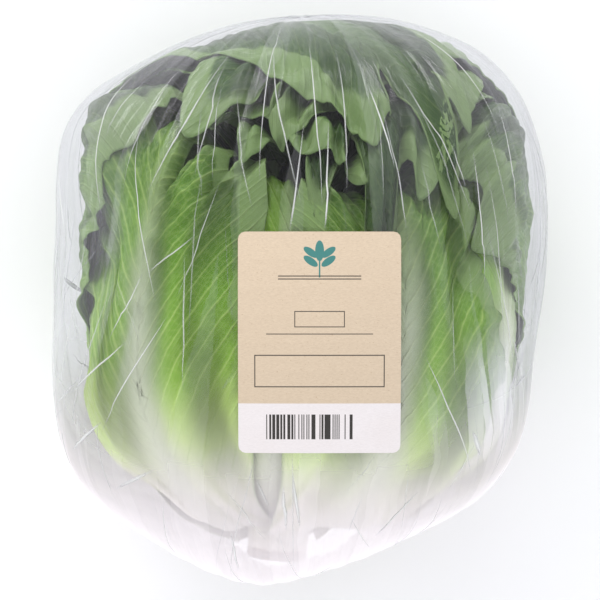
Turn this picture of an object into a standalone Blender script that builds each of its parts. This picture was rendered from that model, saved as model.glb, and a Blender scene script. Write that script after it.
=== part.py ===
"""A head of green lettuce in a clear film bag with a paper label, lying on its back.

Metres, +Z up. The back of the bag rests on Z = 0, the leaf tips point to +Y, the cut stem
points to -Y and the label faces up. The origin is on the ground, under the bag's middle.
Every leaf, the heart and the bag are surfaces round one centre, given by a radius in each
direction. Each leaf lies on the ones inside it, so that no leaf cuts another.
"""

import math

import bmesh
import bpy
import numpy as np

MM = 0.001

# Driving dimensions: the outlines seen from above, as (x, y) in millimetres
BAG_OUTLINE = [
    (86, 0), (88, 26), (84, 62), (73, 85), (42, 100), (8, 103), (-30, 98), (-61, 84), (-84, 70),
    (-87, 30), (-88, -5), (-89, -35), (-83, -62), (-55, -85), (-30, -99), (-8, -103), (6, -98),
    (17, -94), (36, -86), (54, -77), (68, -68), (79, -50), (82, -20),
]
HEAD_OUTLINE = [
    (79, 0), (82, 20), (80, 54), (71, 74), (56, 87), (30, 96), (2, 97), (-32, 90), (-57, 77),
    (-78, 58), (-77, 30), (-76, 0), (-76, -25), (-68, -50), (-40, -77), (-18, -91), (-4, -92),
    (14, -85), (40, -73), (66, -52), (76, -26),
]
CENTRE = np.array([0, 0, 62 * MM])
BAG_TOP, BAG_BOTTOM, BAG_BOXINESS = 72 * MM, 70 * MM, 2.4
HEAD_TOP, HEAD_BOTTOM, HEAD_BOXINESS = 67 * MM, 60 * MM, 2.5

# The head and the bag grow flatter towards the stem, from one y to the other
TAPER_FROM, TAPER_TO, TAPER = -25 * MM, -105 * MM, 0.24

# The stem, a cone that narrows towards the centre, measured along the head's own axis
STEM_POINT = (-9 * MM, -91 * MM, -4 * MM)
STEM_CUT_RADIUS = 14 * MM
STEM_CUT_AT, STEM_INNER_AT = 93 * MM, 42 * MM
STEM_SIDES, STEM_BEVEL = 24, 1.2 * MM

# Leaves
BLADE = 0.9 * MM
RIB_HEIGHT, RIB_WIDTH, RIB_FULL_AT = 2.0 * MM, 7.0 * MM, math.radians(46)
LEAF_GAP = 0.5 * MM
TOUCH_GAP = 0.35 * MM
FILM_CLEARANCE = 3.0 * MM
LEAF_COLUMNS, DEGREES_A_ROW = 12, 12
INNER_RUFFLE, OUTER_RUFFLE = 1.5 * MM, 5.5 * MM
LEAF_CENTRE = 0.45
LAYING_ROUNDS, HEART_FITS = 12, 4
CLASP = math.radians(60)
ROOT = math.atan(STEM_CUT_RADIUS / STEM_CUT_AT) + math.radians(0.6)
TIP_NARROWING, SHOULDER_DROP = 0.12, 0.17
LOBE = 0.06

# Each leaf from the inside out: azimuth round the stem, reach over the head, half width and
# sideways bend, in degrees, then its number of ruffles. Azimuth 90 is the front, 0 the right.
LEAVES = [
    (60, 158, 46, 0, 9), (200, 152, 48, 0, 10), (330, 150, 48, 0, 9), (255, 156, 48, 0, 9),
    (15, 144, 46, 0, 11), (172, 146, 44, 0, 10), (95, 142, 40, 0, 11), (24, 138, 40, 0, 10),
    (132, 138, 32, 4, 11), (60, 138, 31, 4, 11), (216, 178, 46, -24, 10), (322, 186, 46, 30, 10),
    (288, 234, 34, 8, 9), (258, 244, 36, 4, 9), (306, 228, 24, 6, 6), (226, 232, 24, -8, 8),
]

# The heart: a closed ball of wrapped inner leaves, whose edges stand out as low steps
HEART_SHARE, HEART_LEAST = 0.6, 30 * MM
HEART_TURNS, HEART_STEP = 3, 2.0 * MM
HEART_SEGMENTS, HEART_RINGS = 30, 18

# Bag and label
FILM = 0.8 * MM
MOUTH_TILT, MOUTH_ANGLE = math.radians(38), math.radians(9)
BAG_SEGMENTS, BAG_RINGS = 36, 20
PLEATS, PLEAT_DEPTH = 10, 2.0 * MM
LABEL_CENTRE = (6 * MM, -13.5 * MM)
LABEL_SIZE = (55 * MM, 75 * MM)
LABEL_CORNER, LABEL_CORNER_STEPS = 2.5 * MM, 3
LABEL_THICKNESS, LABEL_STRIPS = 0.4 * MM, (6, 8)
LABEL_CREST = (3 * MM, 5 * MM, 133.6 * MM)
LABEL_BEND = (200 * MM, 160 * MM)
LABEL_BLEND = 9 * MM

MAP_SIZE = 96


def smooth_step(x):
    """0 below 0, 1 above 1, and an even curve between."""
    x = np.clip(x, 0, 1)
    return x * x * (3 - 2 * x)


def outline_radius(points):
    """A function that gives a closed outline's radius at any angle, rounded at its corners."""
    xy = np.array(points, float) * MM
    angle, radius = np.arctan2(xy[:, 1], xy[:, 0]), np.hypot(xy[:, 0], xy[:, 1])
    every_degree = np.radians(np.arange(-180, 180))
    radii = np.interp(every_degree, angle, radius, period=2 * math.pi)
    reach = 10
    weights = np.hanning(2 * reach + 1)
    around = np.concatenate([radii[-reach:], radii, radii[:reach]])
    rounded = np.convolve(around, weights / weights.sum(), "valid")
    return lambda a: np.interp(a, every_degree, rounded, period=2 * math.pi)


bag_side, head_side = outline_radius(BAG_OUTLINE), outline_radius(HEAD_OUTLINE)


def rounded_radius(d, side, top, bottom, boxiness):
    """The radius in directions d of a boxy egg with the given outline, top and bottom."""
    flat = np.hypot(d[..., 0], d[..., 1]) / side(np.arctan2(d[..., 1], d[..., 0]))
    upright = np.abs(d[..., 2]) / np.where(d[..., 2] > 0, top, bottom)
    return (flat**boxiness + upright**boxiness) ** (-1 / boxiness)


def head_radius(d):
    return rounded_radius(d, head_side, HEAD_TOP, HEAD_BOTTOM, HEAD_BOXINESS)


def placed(d, radius):
    """Points at a radius in directions d, flattened towards the stem."""
    p = d * radius[..., None]
    along = (p[..., 1] - TAPER_FROM) / (TAPER_TO - TAPER_FROM)
    p[..., 2] *= 1 - TAPER * smooth_step(along)
    return p + CENTRE


def unit(v):
    v = np.asarray(v, float)
    return v / np.linalg.norm(v, axis=-1, keepdims=True)


# The head's own frame: down to the stem, to the right, and to the front
STEMWARD = unit(STEM_POINT)
RIGHTWARD = unit(np.array([1.0, 0, 0]) - STEMWARD[0] * STEMWARD)
FRONTWARD = np.cross(STEMWARD, RIGHTWARD)


class RadiusMap:
    """How far out the leaves laid so far reach in each direction, on an octahedral map."""

    def __init__(self):
        c = (np.arange(MAP_SIZE) + 0.5) / MAP_SIZE * 2 - 1
        x, y = np.meshgrid(c, c, indexing="ij")
        z = 1 - np.abs(x) - np.abs(y)
        fold = np.clip(-z, 0, None)
        self.directions = unit(np.stack([x - np.sign(x) * fold, y - np.sign(y) * fold, z], -1))
        self.radius = np.zeros((MAP_SIZE, MAP_SIZE))

    @staticmethod
    def cell_of(d):
        """Map coordinates of directions d, in cells."""
        p = d / np.abs(d).sum(-1, keepdims=True)
        x, y = p[..., 0], p[..., 1]
        below = p[..., 2] < 0
        fx = np.where(below, (1 - np.abs(y)) * np.where(x < 0, -1, 1), x)
        fy = np.where(below, (1 - np.abs(x)) * np.where(y < 0, -1, 1), y)
        return (fx + 1) / 2 * MAP_SIZE - 0.5, (fy + 1) / 2 * MAP_SIZE - 0.5

    def raise_to(self, d, radius):
        x, y = (np.clip(np.round(v), 0, MAP_SIZE - 1).astype(int) for v in self.cell_of(d))
        np.maximum.at(self.radius, (x, y), radius)

    @staticmethod
    def neighbours(grid, reach, combine):
        """Each cell combined with those within reach, one axis after the other. Past its
        border the map goes on as itself turned half round."""
        for axis in (0, 1):
            g = np.moveaxis(grid, axis, 0)
            g = np.concatenate([g[:reach][::-1, ::-1], g, g[-reach:][::-1, ::-1]])
            size = len(g) - 2 * reach
            g = combine([g[k : k + size] for k in range(2 * reach + 1)])
            grid = np.moveaxis(g, 0, axis)
        return grid

    @classmethod
    def widest(cls, grid, reach):
        return cls.neighbours(grid, reach, lambda s: np.max(s, axis=0))

    @classmethod
    def blurred(cls, grid, reach):
        return cls.neighbours(grid, reach, lambda s: np.mean(s, axis=0))

    @classmethod
    def read(cls, grid, d):
        """The grid's value in directions d, between its cells."""
        x, y = (np.clip(v, 0, MAP_SIZE - 1.001) for v in cls.cell_of(d))
        i, j = x.astype(int), y.astype(int)
        u, v = x - i, y - j
        low = grid[i, j] * (1 - v) + grid[i, j + 1] * v
        high = grid[i + 1, j] * (1 - v) + grid[i + 1, j + 1] * v
        return low * (1 - u) + high * u


def leaf_plan(leaf, s, t):
    """The directions of a leaf's points: s runs across it from -1 to 1, t from root to tip.
    Its root clasps the stem."""
    azimuth, reach, half_width, bend, ruffles = leaf
    phi, reach, half_width, bend = (math.radians(v) for v in (azimuth, reach, half_width, bend))
    middle = 0.62
    grown = np.sin(np.pi / 2 * np.clip(t / middle, 0, 1)) ** 1.1
    narrowed = 1 - TIP_NARROWING * np.clip((t - middle) / (1 - middle), 0, 1) ** 2
    around = np.arctan2(s, t - LEAF_CENTRE)
    lobes = 1 + LOBE * smooth_step(t * 2) * np.sin(ruffles // 2 * around + azimuth)
    across = (1 - grown) * ROOT * np.sin(CLASP * s) + grown * narrowed * lobes * half_width * s
    across = across + bend * t**2
    shoulders = SHOULDER_DROP * t * np.abs(s) ** 2.4
    up = (1 - t) * ROOT * np.cos(CLASP * s) + t * reach * (1 - shoulders) * (1 + (lobes - 1) * t)
    out = math.cos(phi) * RIGHTWARD + math.sin(phi) * FRONTWARD
    side = -math.sin(phi) * RIGHTWARD + math.cos(phi) * FRONTWARD
    meridian = np.cos(up)[..., None] * STEMWARD + np.sin(up)[..., None] * out
    return np.cos(across)[..., None] * meridian + np.sin(across)[..., None] * side


def leaf_ruffle(leaf, s, t):
    """How far a leaf's waves lift it off what it lies on: nothing at the rib, most at the edge."""
    azimuth, _, _, _, ruffles = leaf
    around = np.arctan2(s, t - LEAF_CENTRE)
    edge = np.clip(np.hypot(0.9 * s, (t - LEAF_CENTRE) / (1 - LEAF_CENTRE) * (t > LEAF_CENTRE)), 0, 1)
    wave = 0.5 + 0.36 * np.sin(ruffles * around + azimuth) + 0.14 * np.sin(
        (2 * ruffles + 1) * around + 2 * azimuth
    )
    share = LEAVES.index(leaf) / (len(LEAVES) - 1)
    height = INNER_RUFFLE + (OUTER_RUFFLE - INNER_RUFFLE) * share
    return height * wave * edge**2 * smooth_step(t * 1.4)


def leaf_thickness(s, t, half_width):
    """The blade, with the rib that stands out along its middle and fades towards the tip. A
    narrow leaf has a slim rib."""
    width = RIB_WIDTH * (1.2 - t)
    across = s * half_width * (0.2 + t) * HEAD_TOP
    height = RIB_HEIGHT * (half_width / RIB_FULL_AT) ** 2
    return BLADE + height * (1 - t) ** 1.5 * np.exp(-((across / width) ** 2))


def leaf_grid(leaf):
    """s and t of a leaf's grid of points. Its columns are closer together at the rib."""
    s = np.linspace(-1, 1, LEAF_COLUMNS + 1)
    s = s * (0.7 + 0.3 * s * s)
    t = np.linspace(0, 1, round(leaf[1] / DEGREES_A_ROW) + 1)
    return np.meshgrid(t, s, indexing="ij")[::-1]


def corner_weights():
    """Points spread over a square that is split from its first corner to its last: how much
    each of its four corners counts at each point."""
    u, v = (g.ravel() for g in np.meshgrid(*2 * [np.linspace(0, 1, 9)], indexing="ij"))
    low, high = np.minimum(u, v), np.maximum(u, v)
    return np.stack([1 - high, np.clip(u - v, 0, 1), np.clip(v - u, 0, 1), low], -1)


WEIGHTS = corner_weights()
CORNERS = ((0, 0), (1, 0), (0, 1), (1, 1))


def on_facets(grid):
    """Points spread over all the triangles of a grid of points."""
    rows, columns = grid.shape[0] - 1, grid.shape[1] - 1
    return WEIGHTS @ np.stack([grid[i : i + rows, j : j + columns] for i, j in CORNERS], 2)


def radius_over(under, d, least=0):
    """A leaf's radii at its grid points, raised bit by bit until its flat triangles clear what
    is under them."""
    radius = np.maximum(RadiusMap.read(under, d), least)
    rows, columns = d.shape[0] - 1, d.shape[1] - 1
    for _ in range(LAYING_ROUNDS):
        surface = on_facets(d * radius[..., None])
        length = np.linalg.norm(surface, axis=-1)
        lack = RadiusMap.read(under, surface / length[..., None]) - length
        worst = WEIGHTS[lack.argmax(2)]
        lift = np.maximum(lack.max(2), 0)[..., None] * worst / (worst**2).sum(2, keepdims=True)
        for k, (i, j) in enumerate(CORNERS):
            part = radius[i : i + rows, j : j + columns]
            part += lift[..., k] * 0.5
    return radius


def lay_leaves(heart, shapes):
    """Lays each leaf on those inside it, beginning at the heart. A leaf's shape is its
    directions, how far it stands off what is under it, its least radii and its thicknesses.
    Gives the leaves' radii, and a map of how far out they all reach."""
    reached = RadiusMap()
    reached.radius = heart.copy()
    radii = []
    for d, off, least, thick in shapes:
        radius = radius_over(RadiusMap.widest(reached.radius, 1) + LEAF_GAP, d, least) + off
        surface = on_facets(d * (radius + thick)[..., None])
        length = np.linalg.norm(surface, axis=-1)
        reached.raise_to(surface / length[..., None], length)
        radii.append(radius)
    return radii, reached.radius


def fit_leaves():
    """Fits the heart and the leaves into the head's outline. The heart is made smaller where
    the leaves on it would outgrow the head, and larger where they leave room. Then all are
    scaled a little, and the leaves laid once more at their new radii. Gives each leaf's
    directions, radii and thicknesses, and the heart's radii."""
    directions = RadiusMap().directions
    in_film = bag_radius(directions) - FILM - FILM_CLEARANCE
    limit = np.minimum(head_radius(directions), in_film)
    shapes = []
    for leaf in LEAVES:
        s, t = leaf_grid(leaf)
        thick = leaf_thickness(s, t, math.radians(leaf[2]))
        shapes.append((leaf_plan(leaf, s, t), leaf_ruffle(leaf, s, t), 0, thick))
    heart = HEART_SHARE * head_radius(directions)
    for _ in range(HEART_FITS):
        radii, reached = lay_leaves(heart, shapes)
        room = limit - reached
        for _ in range(3):
            room = RadiusMap.blurred(room, 5)
        heart = np.maximum(heart + 0.8 * room, HEART_LEAST)
    radii, reached = lay_leaves(heart, shapes)
    scale = -RadiusMap.widest(-limit / reached, 4)
    for _ in range(3):
        scale = RadiusMap.blurred(scale, 2)
    heart = heart * scale
    trimmed = []
    for (d, _, _, thick), radius in zip(shapes, radii):
        shrink = RadiusMap.read(scale, d)
        trimmed.append((d, 0, radius * shrink, thick * np.minimum(shrink, 1)))
    radii, reached = lay_leaves(heart, trimmed)
    return [(shape[0], radius, shape[3]) for shape, radius in zip(trimmed, radii)], heart


def label_height(x, y):
    """The height of the label's underside."""
    return (
        LABEL_CREST[2]
        - (x - LABEL_CREST[0]) ** 2 / (2 * LABEL_BEND[0])
        - (y - LABEL_CREST[1]) ** 2 / (2 * LABEL_BEND[1])
    )


def bag_radius(d):
    """The film's outside. It lies flat on the ground, and flat under the label."""
    radius = rounded_radius(d, bag_side, BAG_TOP, BAG_BOTTOM, BAG_BOXINESS) - pleat(d)
    down = np.minimum(d[..., 2], -1e-6)
    radius = np.minimum(radius, np.where(d[..., 2] < 0, -CENTRE[2] / down, np.inf))
    for _ in range(4):
        p = placed(d, radius)
        aside = np.stack([np.abs(p[..., k] - LABEL_CENTRE[k]) - LABEL_SIZE[k] / 2 for k in (0, 1)])
        past = np.linalg.norm(np.clip(aside - 3 * MM, 0, None), axis=0)
        share = (1 - smooth_step(past / LABEL_BLEND)) * (d[..., 2] > 0)
        wanted = label_height(p[..., 0], p[..., 1]) - TOUCH_GAP - CENTRE[2]
        ratio = wanted / np.maximum(p[..., 2] - CENTRE[2], 1 * MM)
        radius = radius * (1 + share * (ratio - 1))
    return radius


def pleat(d):
    """How far the gathered film dips between its pleats, which fade away from the mouth."""
    mouth = np.array([0, -math.cos(MOUTH_TILT), -math.sin(MOUTH_TILT)])
    side = np.array([1.0, 0, 0])
    up = np.cross(side, mouth)
    away = np.arccos(np.clip(d @ mouth, -1, 1))
    around = np.arctan2(d @ up, d @ side)
    fade = smooth_step(1.25 - away / math.radians(55)) * smooth_step(away / math.radians(14))
    return PLEAT_DEPTH * fade * (0.5 - 0.5 * np.cos(PLEATS * around))


def material(name, colour, roughness, alpha=1.0):
    made = bpy.data.materials.new(name)
    made.use_nodes = True
    shader = made.node_tree.nodes["Principled BSDF"]
    shader.inputs["Base Color"].default_value = (*colour, 1)
    shader.inputs["Roughness"].default_value = roughness
    shader.inputs["Alpha"].default_value = alpha
    return made


def add_object(name, bm, finish, smooth_angle=35):
    """Turns a bmesh into a named object, with its faces pointing out."""
    bmesh.ops.recalc_face_normals(bm, faces=bm.faces)
    if bm.calc_volume(signed=True) < 0:
        bmesh.ops.reverse_faces(bm, faces=bm.faces)
    mesh = bpy.data.meshes.new(name)
    bm.to_mesh(mesh)
    bm.free()
    mesh.shade_smooth()
    mesh.set_sharp_from_angle(angle=math.radians(smooth_angle))
    mesh.materials.append(finish)
    made = bpy.data.objects.new(name, mesh)
    bpy.context.scene.collection.objects.link(made)
    return made


def add_leaf(name, d, radius, thick, finish):
    """A leaf's sheet is split into triangles before it gets its thickness, so that both faces
    are split alike."""
    rows = len(d) - 1
    bm = bmesh.new()
    bmesh.ops.create_grid(bm, x_segments=LEAF_COLUMNS, y_segments=rows, size=1)
    bmesh.ops.triangulate(bm, faces=bm.faces, quad_method="FIXED")
    outer = bmesh.ops.extrude_face_region(bm, geom=bm.faces[:])["geom"]
    outer = {v for v in outer if isinstance(v, bmesh.types.BMVert)}

    inner_points, outer_points = placed(d, radius), placed(d, radius + thick)
    for v in bm.verts:
        at = round((v.co.y + 1) / 2 * rows), round((v.co.x + 1) / 2 * LEAF_COLUMNS)
        v.co = outer_points[at] if v in outer else inner_points[at]
    return add_object(name, bm, finish)


def add_heart(heart, finish):
    """The ball of inner leaves. Their edges wind up it as low steps, and its foot is cut flat."""
    bm = bmesh.new()
    bmesh.ops.create_uvsphere(
        bm, u_segments=HEART_SEGMENTS, v_segments=HEART_RINGS, radius=1
    )
    for v in bm.verts:
        d = v.co.x * RIGHTWARD + v.co.y * FRONTWARD - v.co.z * STEMWARD
        turn = math.atan2(v.co.y, v.co.x) / math.tau * HEART_TURNS + v.co.z
        step = HEART_STEP * (turn - math.floor(turn)) * (1 - v.co.z**2)
        radius = RadiusMap.read(heart, d) + step - HEART_STEP
        foot = STEM_INNER_AT - TOUCH_GAP
        radius = min(radius, foot / max(d @ STEMWARD, 1e-6))
        v.co = placed(d, np.array(radius))
    return add_object("heart", bm, finish)


def add_stem(finish):
    """The stump that the leaves grow from: a tapered round with a bevelled cut face."""
    bm = bmesh.new()
    bmesh.ops.create_cone(
        bm,
        cap_ends=True,
        segments=STEM_SIDES,
        radius1=STEM_CUT_RADIUS,
        radius2=STEM_CUT_RADIUS * STEM_INNER_AT / STEM_CUT_AT,
        depth=STEM_CUT_AT - STEM_INNER_AT,
    )
    cut_rim = [e for e in bm.edges if all(v.co.z < 0 for v in e.verts)]
    bmesh.ops.bevel(
        bm, geom=cut_rim, offset=STEM_BEVEL, segments=2, profile=0.5, affect="EDGES", material=-1
    )
    middle = (STEM_CUT_AT + STEM_INNER_AT) / 2
    for v in bm.verts:
        p = v.co.x * RIGHTWARD + v.co.y * FRONTWARD + (middle - v.co.z) * STEMWARD
        length = np.linalg.norm(p)
        v.co = placed(p / length, np.array(length))
    return add_object("stem", bm, finish)


def add_bag(finish):
    """The film: a sphere's net with its pole cap left out as the mouth, drawn to the bag's form."""
    bm = bmesh.new()
    bmesh.ops.create_uvsphere(bm, u_segments=BAG_SEGMENTS, v_segments=BAG_RINGS, radius=1)
    cap = [v for v in bm.verts if v.co.z > math.cos(MOUTH_ANGLE)]
    bmesh.ops.delete(bm, geom=cap, context="VERTS")
    bmesh.ops.triangulate(bm, faces=bm.faces)
    inner = bmesh.ops.extrude_face_region(bm, geom=bm.faces[:])["geom"]
    inner = {v for v in inner if isinstance(v, bmesh.types.BMVert)}
    for v in bm.verts:
        polar = math.acos(max(-1, min(1, v.co.z)))
        tilt = MOUTH_TILT * (1 - polar / math.pi)
        x, y, z = v.co.x, -v.co.z, v.co.y
        d = np.array([
            x, y * math.cos(tilt) - z * math.sin(tilt), y * math.sin(tilt) + z * math.cos(tilt)
        ])
        d = unit(d)
        radius = bag_radius(d)
        if v in inner:
            radius = radius - FILM / max(abs(d[2]), 0.7)
        v.co = placed(d, np.array(radius))
    return add_object("bag", bm, finish)


def add_label(finish):
    """The paper label: a rounded rectangle, cut into strips so that it bends with the film."""
    bm = bmesh.new()
    half = [size / 2 for size in LABEL_SIZE]
    ring = []
    for k, (sx, sy) in enumerate(((1, 1), (-1, 1), (-1, -1), (1, -1))):
        for step in range(LABEL_CORNER_STEPS + 1):
            a = math.radians(90 * (k + step / LABEL_CORNER_STEPS))
            ring.append(bm.verts.new((
                LABEL_CENTRE[0] + sx * (half[0] - LABEL_CORNER) + LABEL_CORNER * math.cos(a),
                LABEL_CENTRE[1] + sy * (half[1] - LABEL_CORNER) + LABEL_CORNER * math.sin(a),
                0,
            )))
    bm.faces.new(ring)
    for axis in (0, 1):
        for k in range(1, LABEL_STRIPS[axis]):
            at, across = [*LABEL_CENTRE, 0], [0, 0, 0]
            at[axis] += LABEL_SIZE[axis] * (k / LABEL_STRIPS[axis] - 0.5)
            across[axis] = 1
            geom = bm.verts[:] + bm.edges[:] + bm.faces[:]
            bmesh.ops.bisect_plane(bm, geom=geom, plane_co=at, plane_no=across)
    bmesh.ops.triangulate(bm, faces=bm.faces)
    top = bmesh.ops.extrude_face_region(bm, geom=bm.faces[:])["geom"]
    top = {v for v in top if isinstance(v, bmesh.types.BMVert)}
    for v in bm.verts:
        v.co.z = label_height(v.co.x, v.co.y) + (LABEL_THICKNESS if v in top else 0)
    return add_object("label", bm, finish)


def put_origin_under_middle(objects):
    """Moves all the meshes alike, so that the origin is under the middle of their box."""
    xy = np.array([v.co[:2] for made in objects for v in made.data.vertices])
    x, y = -(xy.min(0) + xy.max(0)) / 2
    for made in objects:
        for v in made.data.vertices:
            v.co.x += x
            v.co.y += y


def main():
    for old in list(bpy.data.objects):
        bpy.data.objects.remove(old)
    leaf_green = material("leaf_green", (0.21, 0.40, 0.09), 0.45)
    made = []
    leaves, heart = fit_leaves()
    for k, (d, radius, thick) in enumerate(leaves):
        made.append(add_leaf(f"leaf_{k + 1:02d}", d, radius, thick, leaf_green))
    made.append(add_heart(heart, material("heart_pale", (0.62, 0.72, 0.35), 0.45)))
    made.append(add_stem(material("stem_white", (0.75, 0.70, 0.55), 0.6)))
    made.append(add_bag(material("clear_film", (0.93, 0.93, 0.96), 0.12, 0.25)))
    made.append(add_label(material("label_paper", (0.66, 0.52, 0.34), 0.75)))
    put_origin_under_middle(made)


main()
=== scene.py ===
"""The looks of a head of green lettuce in a clear film bag with a paper label.

It lies on its back: the leaf tips point to +Y, the cut stem to -Y, and the label faces up.
Leaves, heart and film are surfaces round one centre, as in the CAD: a direction and a radius.
"""
import math

import bmesh
import bpy
import numpy as np
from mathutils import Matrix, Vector, noise
from mathutils.bvhtree import BVHTree


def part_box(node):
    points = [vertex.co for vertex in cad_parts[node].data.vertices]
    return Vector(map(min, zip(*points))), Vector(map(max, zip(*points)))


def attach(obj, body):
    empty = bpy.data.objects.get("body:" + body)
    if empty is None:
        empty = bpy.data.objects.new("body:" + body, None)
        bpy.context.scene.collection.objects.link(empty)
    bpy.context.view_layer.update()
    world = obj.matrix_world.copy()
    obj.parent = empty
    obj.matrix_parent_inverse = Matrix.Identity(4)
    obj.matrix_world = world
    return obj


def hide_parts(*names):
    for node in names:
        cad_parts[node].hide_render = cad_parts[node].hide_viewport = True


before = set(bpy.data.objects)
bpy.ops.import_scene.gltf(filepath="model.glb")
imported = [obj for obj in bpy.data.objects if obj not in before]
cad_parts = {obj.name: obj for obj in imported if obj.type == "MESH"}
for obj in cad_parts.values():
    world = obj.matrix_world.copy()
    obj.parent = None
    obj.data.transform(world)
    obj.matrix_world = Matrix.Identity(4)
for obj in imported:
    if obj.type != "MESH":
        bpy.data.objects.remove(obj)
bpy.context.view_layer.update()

MM = 0.001

# The stem
# The stump that all the leaves grow from, pale and wet, with a face that was cut across when
# the head was picked and has browned since. It is the first piece, and gives the head its axis.

label_low, label_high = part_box("label")
LABEL_CENTRE = (6 * MM, -13.5 * MM)
CENTRE = np.array([
    (label_low[0] + label_high[0]) / 2 - LABEL_CENTRE[0],
    (label_low[1] + label_high[1]) / 2 - LABEL_CENTRE[1],
    62 * MM,
])
TAPER_FROM, TAPER_TO, TAPER = -25 * MM, -105 * MM, 0.24
STEM_CUT_RADIUS = 14 * MM
STEM_CUT_AT, STEM_INNER_AT = 93 * MM, 42 * MM


def unit(v):
    v = np.asarray(v, float)
    return v / np.linalg.norm(v, axis=-1, keepdims=True)


def smooth_step(x, start=0.0, end=1.0):
    x = np.clip((x - start) / (end - start), 0, 1)
    return x * x * (3 - 2 * x)


# The head's own frame: down to the stem, to the right, and to the front
STEMWARD = unit((-9, -91, -4))
RIGHTWARD = unit(np.array([1.0, 0, 0]) - STEMWARD[0] * STEMWARD)
FRONTWARD = np.cross(STEMWARD, RIGHTWARD)


def flattening(y):
    """How much lower the head is at y than it would be without its taper to the stem."""
    return 1 - TAPER * smooth_step(y, TAPER_FROM, TAPER_TO)


def placed(d, radius):
    """Points at a radius in directions d, flattened towards the stem."""
    p = d * np.asarray(radius)[..., None]
    p[..., 2] *= flattening(p[..., 1])
    return p + CENTRE


def unplaced(points):
    """The directions and radii of points."""
    p = np.asarray(points, float) - CENTRE
    p[..., 2] /= flattening(p[..., 1])
    radius = np.linalg.norm(p, axis=-1)
    return p / radius[..., None], radius


def new_material(name):
    """A material and its tree, with the Principled shader and the output only."""
    made = bpy.data.materials.new(name)
    made.use_nodes = True
    tree = made.node_tree
    return made, tree, tree.nodes["Principled BSDF"]


def add(tree, kind, inputs=(), **settings):
    """Adds a node. An input is a value, or another node's output that is linked to it."""
    made = tree.nodes.new(kind)
    for name, value in settings.items():
        setattr(made, name, value)
    for name, value in dict(inputs).items():
        if isinstance(value, bpy.types.NodeSocket):
            tree.links.new(value, made.inputs[name])
        else:
            made.inputs[name].default_value = value
    return made


def math_node(tree, operation, a, b=0.0, clamp=False):
    made = add(tree, "ShaderNodeMath", {0: a, 1: b}, operation=operation, use_clamp=clamp)
    return made.outputs[0]


def times(tree, first, *others):
    """The product of shader values."""
    for other in others:
        first = math_node(tree, "MULTIPLY", first, other)
    return first


def plus(tree, first, *others):
    """The sum of shader values."""
    for other in others:
        first = math_node(tree, "ADD", first, other)
    return first


def ramp(tree, factor, stops):
    """A colour ramp from (position, colour) pairs."""
    made = add(tree, "ShaderNodeValToRGB", {"Fac": factor})
    elements = made.color_ramp.elements
    while len(elements) < len(stops):
        elements.new(0.5)
    for element, (position, colour) in zip(elements, stops):
        element.position = position
        element.color = (*colour, 1)
    return made.outputs["Color"]


def mix_colour(tree, factor, a, b, blend="MIX"):
    made = add(tree, "ShaderNodeMix", {"Factor": factor}, data_type="RGBA", blend_type=blend)
    for socket, value in ((made.inputs[6], a), (made.inputs[7], b)):
        if isinstance(value, bpy.types.NodeSocket):
            tree.links.new(value, socket)
        else:
            socket.default_value = (*value, 1)
    return made.outputs[2]


def between(tree, value, start, end, low=0.0, high=1.0):
    """value's place between start and end, as a smooth step from low to high."""
    made = add(
        tree, "ShaderNodeMapRange",
        {"Value": value, "From Min": start, "From Max": end, "To Min": low, "To Max": high},
        interpolation_type="SMOOTHSTEP",
    )
    return made.outputs["Result"]


def noise_texture(tree, vector, scale, detail=2.0, roughness=0.5, distortion=0.0):
    made = add(
        tree, "ShaderNodeTexNoise",
        {
            "Vector": vector, "Scale": scale, "Detail": detail,
            "Roughness": roughness, "Distortion": distortion,
        },
    )
    return made.outputs["Fac"]


def bump(tree, height, distance, strength=1.0):
    made = add(
        tree, "ShaderNodeBump", {"Height": height, "Distance": distance, "Strength": strength}
    )
    return made.outputs["Normal"]


def attribute(tree, name):
    return add(tree, "ShaderNodeAttribute", attribute_name=name, attribute_type="GEOMETRY")


def shown(name, mesh, finish, node):
    """Puts a finished mesh in the scene, in place of the CAD node."""
    mesh.materials.append(finish)
    made = bpy.data.objects.new(name, mesh)
    bpy.context.scene.collection.objects.link(made)
    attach(made, "root")
    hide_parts(node)
    return made


STEM_SIDES, STEM_RINGS = 72, 24
STEM_BEVEL = 2.0 * MM
STEM_WAIST, STEM_GROOVES, GROOVE_DEPTH = 0.20, 5, 0.04
CUT_RINGS, CUT_RING_STEP = 6, 1.8 * MM
CUT_PITS, CUT_PIT_SCALE = 1.2 * MM, 130
BROWNED_LENGTH = 14 * MM

stem_finish, tree, shader = new_material("cut_stem")
place = add(tree, "ShaderNodeTexCoord").outputs["Object"]
along = attribute(tree, "along").outputs["Fac"]
blotches = noise_texture(tree, place, 260, 4, 0.6)
aged = plus(tree, along, times(tree, blotches, 0.35))
stem_colour = ramp(tree, aged, [
    (0.35, (0.78, 0.76, 0.60)), (0.95, (0.84, 0.77, 0.68)),
    (1.08, (0.40, 0.24, 0.12)), (1.20, (0.20, 0.09, 0.04)),
])
tree.links.new(stem_colour, shader.inputs["Base Color"])
tree.links.new(between(tree, blotches, 0.3, 0.7, 0.35, 0.6), shader.inputs["Roughness"])
tree.links.new(bump(tree, blotches, 0.6 * MM, 0.7), shader.inputs["Normal"])

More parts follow.
